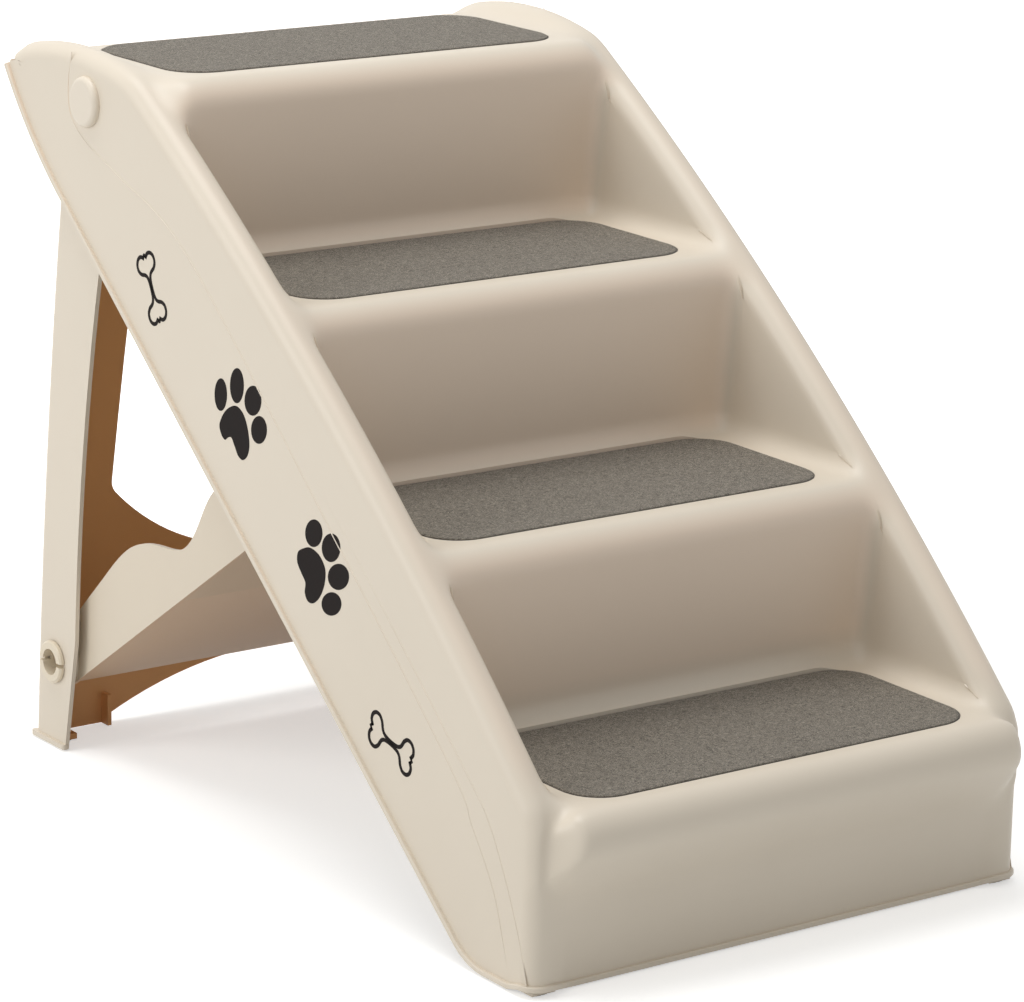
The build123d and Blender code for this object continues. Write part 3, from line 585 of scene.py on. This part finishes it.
def skin_row(index):
    """Half of one row of the skin: from the middle of the step, over the rim, to the foot of the panel."""
    point, way = profile[index], left_of(profile, index)
    front = 1 - fade(base_z, nose_axis.y, point.y) if point.x < nose_axis.x else 0
    wall_x = rim_inner + (FLANK_MIDDLE - rim_inner) * front
    half = BLEND_RADIUS + (FLANK_HALF - BLEND_RADIUS) * front
    # The roll of the lowest nose runs further out, over the posts
    overhang = fade(0, NOSE_AHEAD, post_front - point.x)
    wall_x += (NOSE_MIDDLE - wall_x) * overhang
    half += (NOSE_HALF - half) * overhang
    outer_radius = min(RIM_RADIUS, half_width - wall_x - half)
    room = rooms[index]
    blend, edge = min(BLEND_RADIUS, BLEND_SHARE * room), min(RIM_RADIUS, EDGE_SHARE * room)
    top = at_reach(crest, reaches[index])
    ahead, behind = (at_reach(crest, reaches[index] + k) for k in (2, -2))
    along = (ahead - behind).normalized()
    out = Vector((-along.y, along.x))
    slant = 1 - fade(reaches[0], reaches[0] + FOOT_SLANT_REACH, reaches[index])
    bottom = at_reach(lower, reaches[index] + FOOT_SLANT * slant)
    outer_edge = min(RIM_RADIUS, OUTER_SHARE * (top - bottom).length)
    points = [(k / TREAD_POINTS * (wall_x - half), point) for k in range(TREAD_POINTS)]
    # Where a nose lies close under the crest, the two melt together in one soft slope
    soft = 1 - fade(SOFT_ROOM, 3 * SOFT_ROOM, room)

    def melted(share, place):
        return place.lerp(point.lerp(top, fade(0, 1, share)), soft)

    for k in range(BLEND_POINTS + 1):
        turn = k / BLEND_POINTS * pi / 2
        place = point + way * blend * (1 - cos(turn))
        points.append((wall_x - half + half * sin(turn), melted(sin(turn) / 2, place)))
    wall_low, wall_high = point + way * blend, top - out * edge
    wall = [wall_low.lerp(wall_high, k / WALL_POINTS) for k in range(1, WALL_POINTS)]
    points += [(wall_x, melted(0.5, place)) for place in wall]
    for k in range(EDGE_POINTS + 1):
        turn = k / EDGE_POINTS * pi / 2
        place = wall_high + out * edge * sin(turn)
        points.append((wall_x + half * (1 - cos(turn)), melted(1 - cos(turn) / 2, place)))
    for k in range(OUTER_POINTS + 1):
        turn = k / OUTER_POINTS * pi / 2
        place = top - out * outer_edge * (1 - cos(turn))
        points.append((half_width - outer_radius + outer_radius * sin(turn), place))
    face_top = top - out * outer_edge
    shares = [(k / PANEL_POINTS) ** PANEL_SPREAD for k in range(1, PANEL_POINTS + 1)]
    points += [(half_width, face_top.lerp(bottom, share)) for share in shares]
    return [Vector((x, place.x, place.y)) for x, place in points]


def add_prism(mesh, section, low_x, high_x):
    """A plate between two places across, with its outline in the side view."""
    ends = [[mesh.verts.new(Vector((x, *point)) * MM) for point in section] for x in (low_x, high_x)]
    bridged(mesh, ends)
    mesh.faces.new(ends[0][::-1])
    mesh.faces.new(ends[1])


def add_lip(mesh, edge):
    """A thin lip along an edge of the skin. Each place has its way out and its way in along the skin."""
    section = [
        (-LIP_SINK, LIP_HEIGHT), (LIP_REACH - LIP_EDGE, LIP_HEIGHT), (LIP_REACH, LIP_HEIGHT - LIP_EDGE),
        (LIP_REACH, LIP_EDGE), (LIP_REACH - LIP_EDGE, 0), (-LIP_SINK, 0),
    ]
    rings = []
    for place, out, inward in edge:
        ring = [place + out * across + inward * height for across, height in section]
        rings.append([mesh.verts.new(point * MM) for point in ring])
    bridged(mesh, rings)
    mesh.faces.new(rings[0])
    mesh.faces.new(rings[-1][::-1])


def smooth_line(points, steps=8):
    """An open curve through points."""
    ends = [2 * points[0] - points[1], *points, 2 * points[-1] - points[-2]]
    path = []
    for a, b, c, d in zip(ends, ends[1:], ends[2:], ends[3:]):
        path += [curved(a, b, c, d, k / steps) for k in range(steps)]
    return path + [points[-1]]


def add_bead(mesh, path, side):
    """A fine raised line on the outside of a side panel, which sinks into it at its ends."""
    rings = []
    for k, point in enumerate(path):
        swell = fade(0, BEAD_RUN_OUT, min(k, len(path) - 1 - k)) * BEAD_HEIGHT
        ring = []
        for across, raised in BEAD_SECTION:
            place = point + left_of(path, k) * across * BEAD_WIDTH / 2
            out = half_width + (swell if raised else -BEAD_HEIGHT)
            ring.append(mesh.verts.new(Vector((side * out, place.x, place.y)) * MM))
        rings.append(ring)
    bridged(mesh, rings)
    mesh.faces.new(rings[0])
    mesh.faces.new(rings[-1][::-1])


def circle(centre, radius, count=40):
    """Points round a centre."""
    turns = [2 * pi * k / count for k in range(count)]
    return [centre + Vector((cos(turn), sin(turn))) * radius for turn in turns]


def mirrored(vector):
    """The same place or way on the other side of the stairs."""
    return Vector((-vector.x, vector.y, vector.z))


half_rows = [skin_row(index) for index in range(len(profile))]
rows = [[mirrored(point) for point in row[:0:-1]] + row for row in half_rows]

mesh = bmesh.new()
grid = [[mesh.verts.new(point * MM) for point in row] for row in rows]
for low_row, high_row in zip(grid, grid[1:]):
    for k in range(len(low_row) - 1):
        mesh.faces.new((low_row[k], low_row[k + 1], high_row[k + 1], high_row[k]))
bmesh.ops.remove_doubles(mesh, verts=mesh.verts, dist=SAME_PLACE)
skin_data = finished(mesh, "shell_skin")
skin = in_scene(bpy.data.objects.new("shell_skin", skin_data))
bends = skin.modifiers.new("bends", "SMOOTH")
bends.factor, bends.iterations = BEND_FACTOR, BEND_ROUNDS
bends.vertex_group = skin.vertex_groups.new(name="bends").name
thickness = skin.modifiers.new("wall", "SOLIDIFY")
thickness.thickness = WALL * MM
thickness.offset = -1
thickness.vertex_group = skin.vertex_groups.new(name="wall").name
thickness.thickness_vertex_group = THIN_SHARE

# How far each point has the full wall, and how far it is smoothed
bend_start, bend_end = rim_inner - 2 * BLEND_RADIUS, half_width - RIM_RADIUS
for vertex in skin_data.vertices:
    x = abs(vertex.co.x) / MM
    inner = fade(bend_start, bend_start + BLEND_RADIUS / 2, x)
    full_wall = 1 - inner * (1 - fade(bend_end, half_width, x))
    smooth_share = inner * (1 - fade(bend_end - BEND_FADE, bend_end + BEND_FADE, x))
    skin.vertex_groups["wall"].add([vertex.index], full_wall, "REPLACE")
    skin.vertex_groups["bends"].add([vertex.index], smooth_share, "REPLACE")

# Recesses that the carpets lie in
recess_mesh = bmesh.new()
for step in range(1, 5):
    low, high = in_mm(f"tread_carpet_{step}")
    half_x, half_y = (high.x - low.x) / 2 + RECESS_GAP, (high.y - low.y) / 2 + RECESS_GAP
    middle, corner = (low + high) / 2, CARPET_CORNER / MM
    outline = []
    for quarter, (sx, sy) in enumerate(((1, 1), (-1, 1), (-1, -1), (1, -1))):
        pivot = Vector((middle.x + sx * (half_x - corner), middle.y + sy * (half_y - corner)))
        turns = [(quarter + k / RECESS_STEPS) * pi / 2 for k in range(RECESS_STEPS + 1)]
        outline += [pivot + Vector((cos(turn), sin(turn))) * corner for turn in turns]
    levels = (low.z, low.z + RECESS_HEIGHT)
    ends = [[recess_mesh.verts.new(Vector((p.x, p.y, z)) * MM) for p in outline] for z in levels]
    bridged(recess_mesh, ends)
    recess_mesh.faces.new(ends[0][::-1])
    recess_mesh.faces.new(ends[1])
recess = in_scene(bpy.data.objects.new("recess_tool", finished(recess_mesh, "recess_tool")))
cut = skin.modifiers.new("recesses", "BOOLEAN")
cut.operation = "DIFFERENCE"
cut.solver = "MANIFOLD"
cut.object = recess
skin_ready = skin.evaluated_get(bpy.context.evaluated_depsgraph_get())
mesh = bmesh.new()
mesh.from_mesh(skin_ready.to_mesh())
skin_ready.to_mesh_clear()
for tool in (skin, recess):
    bpy.data.objects.remove(tool)

# Relief lines on the side panels: one from the crown down to the foot, and one beside it lower down
long_line = smooth_line([
    Vector(place) for place in (
        (230, 482), (234, 466), (234.5, 449), (229, 437), (210, 424), (173, 410), (89.5, 374), (-60, 249),
        (-206, 121.6), (-232, 89), (-254, 57), (-265.6, 26), (-271.5, 6),
    )
])
short_line = smooth_line([
    Vector(place) for place in (
        (-40, 279), (-150, 186), (-228, 117.5), (-248, 97.5), (-264, 71), (-276, 46), (-283, 28), (-288.5, 8),
    )
])

# Lips, ribs, bosses and the floors of the posts
for side in (1, -1):
    for path in (long_line, short_line):
        add_bead(mesh, path, side)
    flip = (lambda v: v) if side > 0 else mirrored
    edge = []
    for k, place in enumerate(half_rows[0]):
        before, after = half_rows[0][max(k - 1, 0)], half_rows[0][min(k + 1, len(half_rows[0]) - 1)]
        along = (after - before).normalized()
        edge.append((flip(place), flip(Vector((along.y, -along.x, 0))), Vector((0, 0, 1))))
    add_lip(mesh, edge)
    bottoms = [row[-1] for row in half_rows]
    edge = []
    for k, place in enumerate(bottoms[:-2]):
        inward = left_of([p.yz for p in bottoms], k)
        edge.append((flip(place), Vector((side, 0, 0)), Vector((0, inward.x, inward.y))))
    add_lip(mesh, edge)
    inner_x = side * (half_width - WALL)
    for centre, radius, height in (
        (hinge, HINGE_BOSS_RADIUS, HINGE_BOSS_HEIGHT), (latch, LATCH_BOSS_RADIUS, LATCH_BOSS_HEIGHT),
    ):
        add_prism(mesh, circle(centre, radius), *sorted((inner_x - side * height, inner_x + side)))
    floor_front, floor_back = post_front + WALL, post_front + POST_FLOOR_DEPTH
    floor_top = base_z + POST_FLOOR_THICKNESS
    plate = [(floor_front, base_z), (floor_back, base_z), (floor_back, floor_top), (floor_front, floor_top)]
    add_prism(mesh, plate, *sorted((side * (rim_inner + WALL), inner_x)))
    rib = [index for index in range(len(profile)) if profile[index].x < tip.x - RIB_END]
    rib = [index for index in rib if profile[index].y > first_tread / 2]
    outer_side = [profile[index] - left_of(profile, index) * (WALL - RIB_SINK) for index in rib]
    inner_side = [profile[index] - left_of(profile, index) * (WALL + RIB_DEPTH) for index in rib]
    for k in range(len(rib) - 1):
        piece = [outer_side[k], outer_side[k + 1], inner_side[k + 1], inner_side[k]]
        add_prism(mesh, piece, side * RIB_X - RIB_THICKNESS / 2, side * RIB_X + RIB_THICKNESS / 2)
lip_way = (lower[-1] - lower[-2]).normalized()
lip_end = tip - lip_way * BACK_LIP
lip_in = Vector((-lip_way.y, lip_way.x)) * WALL
add_prism(mesh, [tip, lip_end, lip_end + lip_in, tip + lip_in], WALL - half_width, half_width - WALL)
bmesh.ops.recalc_face_normals(mesh, faces=mesh.faces)
for edge in mesh.edges:
    edge.smooth = len(edge.link_faces) == 2 and edge.calc_face_angle(0) < SHARP
shell_data = smoothed(finished(mesh, "moulded_shell"))
moulded_shell = new_piece("moulded_shell", shell_data, "stair_body", shell_plastic)
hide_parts("stair_shell")


# Prints on the left side panel. Places on the panel are (y, z) in mm.

PANEL_X = -189 * MM
PRINT_THICKNESS = 0.12 * MM
PRINT_SINK = 0.05 * MM
BONE_LINE = 2.6
BONE_LOBE_ANGLES = (150, 110, 70, 30, -10, -50)
BONE_SHAFT_SHARES = (0.3, 0.7)


def smooth_loop(points, steps=10):
    """A closed curve through points."""
    count = len(points)
    loop = []
    for index in range(count):
        a, b, c, d = (Vector(points[(index + k) % count]) for k in (-1, 0, 1, 2))
        loop += [curved(a, b, c, d, k / steps) for k in range(steps)]
    return loop


def oval(centre, long, short, tilt, count=40):
    """An oval by its half-lengths and the angle of its long axis from +Y."""
    along = Vector((cos(radians(tilt)), sin(radians(tilt))))
    beside = Vector((-along.y, along.x))
    turn = [2 * pi * k / count for k in range(count)]
    return [Vector(centre) + along * long * cos(t) + beside * short * sin(t) for t in turn]


def inset(loop, distance):
    """The same loop, drawn in by a distance."""
    area = sum(a.x * b.y - a.y * b.x for a, b in zip(loop, loop[1:] + loop[:1]))
    inward = distance if area > 0 else -distance
    moved = []
    for index, point in enumerate(loop):
        along = (loop[(index + 1) % len(loop)] - loop[index - 1]).normalized()
        moved.append(point + Vector((-along.y, along.x)) * inward)
    return moved


def on_panel(point, height):
    """A place at a height over the left side panel."""
    return (PANEL_X - height, point.x * MM, point.y * MM)


def add_patch(mesh, loop, hole=None):
    """A thin filled patch of ink, or a band between a loop and its hole."""
    top = [mesh.verts.new(on_panel(point, PRINT_THICKNESS)) for point in loop]
    low = [mesh.verts.new(on_panel(point, -PRINT_SINK)) for point in loop]
    bridged(mesh, [top, low])
    if hole:
        hole_top = [mesh.verts.new(on_panel(point, PRINT_THICKNESS)) for point in hole]
        hole_low = [mesh.verts.new(on_panel(point, -PRINT_SINK)) for point in hole]
        for k in range(len(loop)):
            after = (k + 1) % len(loop)
            mesh.faces.new((top[k], hole_top[k], hole_top[after], top[after]))
            mesh.faces.new((low[k], low[after], hole_low[after], hole_low[k]))
            mesh.faces.new((hole_top[k], hole_low[k], hole_low[after], hole_top[after]))
    else:
        mesh.faces.new(top)
        mesh.faces.new(low[::-1])


def printed(name, patches):
    """One print, made of one or more patches of ink."""
    mesh = bmesh.new()
    for patch in patches:
        add_patch(mesh, *patch)
    bmesh.ops.recalc_face_normals(mesh, faces=mesh.faces)
    new_piece(name, finished(mesh, name), "stair_body", print_ink)


def bone(name, start, end, lobe, shaft, spread):
    """An outlined bone between the middles of its two ends, each with two round lobes."""
    start, end = Vector(start), Vector(end)
    outline = []
    for near, far in ((start, end), (end, start)):
        along = (far - near).normalized()
        beside = Vector((-along.y, along.x))
        for side in (1, -1):
            turns = [radians(angle) * side for angle in BONE_LOBE_ANGLES]
            for turn in turns if side > 0 else turns[::-1]:
                outline.append(far + beside * spread * side + lobe * (along * cos(turn) + beside * sin(turn)))
        outline += [far.lerp(near, share) - beside * shaft for share in BONE_SHAFT_SHARES]
    loop = smooth_loop(outline, steps=6)
    printed(name, [(loop, inset(loop, BONE_LINE))])


paws = {
    "upper_paw_print": (
        [(47.2, 292.1, 10.7, 7.2, 100), (28.3, 301.8, 11.5, 7.9, 101), (9.7, 296.1, 10.7, 8.7, 134),
         (2.6, 279.0, 10.0, 8.1, 135)],
        [(30.5, 288.5), (41.5, 283), (48.4, 273.5), (47, 267.4), (42.5, 264.0), (38.5, 266.3), (34.5, 267.0),
         (30.5, 262.0), (26.5, 257.0), (21, 255.6), (15.5, 260), (13.6, 268), (16.5, 279), (22, 286.2)],
    ),
    "lower_paw_print": (
        [(-60.1, 227.6, 10.4, 8.1, 142), (-79.3, 223.0, 11.0, 8.4, 145), (-87.7, 206.7, 12.2, 7.9, 156),
         (-80.3, 187.7, 11.5, 7.1, 157)],
        [(-48.5, 215.2), (-42.6, 211.5), (-41.8, 205.0), (-46.5, 199.0), (-51, 194.0), (-50.5, 187.5),
         (-54, 182.8), (-60.5, 183.2), (-67.5, 189.0), (-72.5, 198.5), (-73, 208.0), (-66.5, 215.0),
         (-56.5, 217.5)],
    ),
}
for name, (toes, pad) in paws.items():
    patches = [(oval(toe[:2], *toe[2:]),) for toe in toes]
    printed(name, patches + [(smooth_loop(pad),)])
bone("upper_bone_print", (137.5, 359.0), (123.3, 329.5), 7.0, 2.8, 5.4)
bone("lower_bone_print", (-129.8, 121.2), (-163.4, 112.8), 7.0, 2.9, 5.6)


# Camera, floor and light

FOCAL_PX = 4396.48
PICTURE_WIDTH = 1024
YAW, PITCH, ROLL = radians(35.891), radians(15.168), radians(1.136)
CAMERA_PLACE = Vector((-1605.9, -2223.6, 950.8)) * MM
SENSOR_WIDTH = 36
FLOOR_HALF = 4.0

forward = Vector((sin(YAW) * cos(PITCH), cos(YAW) * cos(PITCH), -sin(PITCH)))
right = forward.cross(Vector((0, 0, 1))).normalized()
up = right.cross(forward)
rolled_right = cos(ROLL) * right + sin(ROLL) * up
rolled_up = -sin(ROLL) * right + cos(ROLL) * up
lens = bpy.data.cameras.new("camera")
lens.sensor_width = SENSOR_WIDTH
lens.lens = SENSOR_WIDTH * FOCAL_PX / PICTURE_WIDTH
lens.clip_end = 50
camera = in_scene(bpy.data.objects.new("camera", lens))
turned = Matrix((rolled_right, rolled_up, -forward)).transposed().to_4x4()
camera.matrix_world = Matrix.Translation(CAMERA_PLACE) @ turned
bpy.context.scene.camera = camera

floor_mesh = bpy.data.meshes.new("floor")
floor_corners = [(x * FLOOR_HALF, y * FLOOR_HALF, 0) for x, y in ((-1, -1), (1, -1), (1, 1), (-1, 1))]
floor_mesh.from_pydata(floor_corners, [], [(0, 1, 2, 3)])
floor = in_scene(bpy.data.objects.new("floor", floor_mesh))


def seen(material):
    """1 for rays that show the background: camera, glossy and transmission rays."""
    path = node(material, "ShaderNodeLightPath")
    total = path.outputs["Is Camera Ray"]
    for name in ("Is Glossy Ray", "Is Transmission Ray"):
        either = node(material, "ShaderNodeMath", {0: total, 1: path.outputs[name]}, operation="MAXIMUM")
        total = either.outputs[0]
    return total


# The floor keeps the shadow near the stairs, and glows to white further out
floor_material, floor_shader = shade("floor")
floor_shader.inputs["Base Color"].default_value = (0.80, 0.80, 0.79, 1)
floor_shader.inputs["Roughness"].default_value = 0.9
floor_shader.inputs["Specular IOR Level"].default_value = 0.1
spot = node(floor_material, "ShaderNodeTexCoord").outputs["Object"]
reach = node(floor_material, "ShaderNodeVectorMath", {0: spot}, operation="LENGTH")
away = node(
    floor_material, "ShaderNodeMapRange", {"Value": reach.outputs["Value"], "From Min": 0.5, "From Max": 1.1},
)
glow = node(floor_material, "ShaderNodeMapRange", {"Value": away.outputs[0], "To Min": 0.5, "To Max": 1.0})
shown = node(
    floor_material, "ShaderNodeMath", {0: glow.outputs[0], 1: seen(floor_material)}, operation="MULTIPLY",
)
link(floor_material, shown.outputs[0], floor_shader.inputs["Emission Strength"])
floor_shader.inputs["Emission Color"].default_value = (1, 1, 1, 1)
floor_mesh.materials.append(floor_material)

world = bpy.data.worlds.new("studio")
bpy.context.scene.world = world
world.use_nodes = True
sky = world.node_tree.nodes["Background"]
sky.inputs["Color"].default_value = (1, 1, 1, 1)
strength = node(world, "ShaderNodeMapRange", {"Value": seen(world), "To Min": 0.45, "To Max": 1.0})
link(world, strength.outputs[0], sky.inputs["Strength"])


def area_lamp(name, place, target, size, power):
    """A round soft lamp that looks at a target."""
    data = bpy.data.lights.new(name, "AREA")
    data.shape = "DISK"
    data.size = size
    data.energy = power
    lamp = in_scene(bpy.data.objects.new(name, data))
    lamp.location = place
    lamp.rotation_euler = (Vector(target) - Vector(place)).to_track_quat("-Z", "Y").to_euler()


area_lamp("key_left", (-2.6, 0.6, 1.5), (0, 0, 0.25), 1.6, 24)
area_lamp("top_soft", (-0.3, 0.4, 2.8), (0, 0, 0.2), 1.8, 36)

bpy.context.scene.view_settings.view_transform = "Standard"
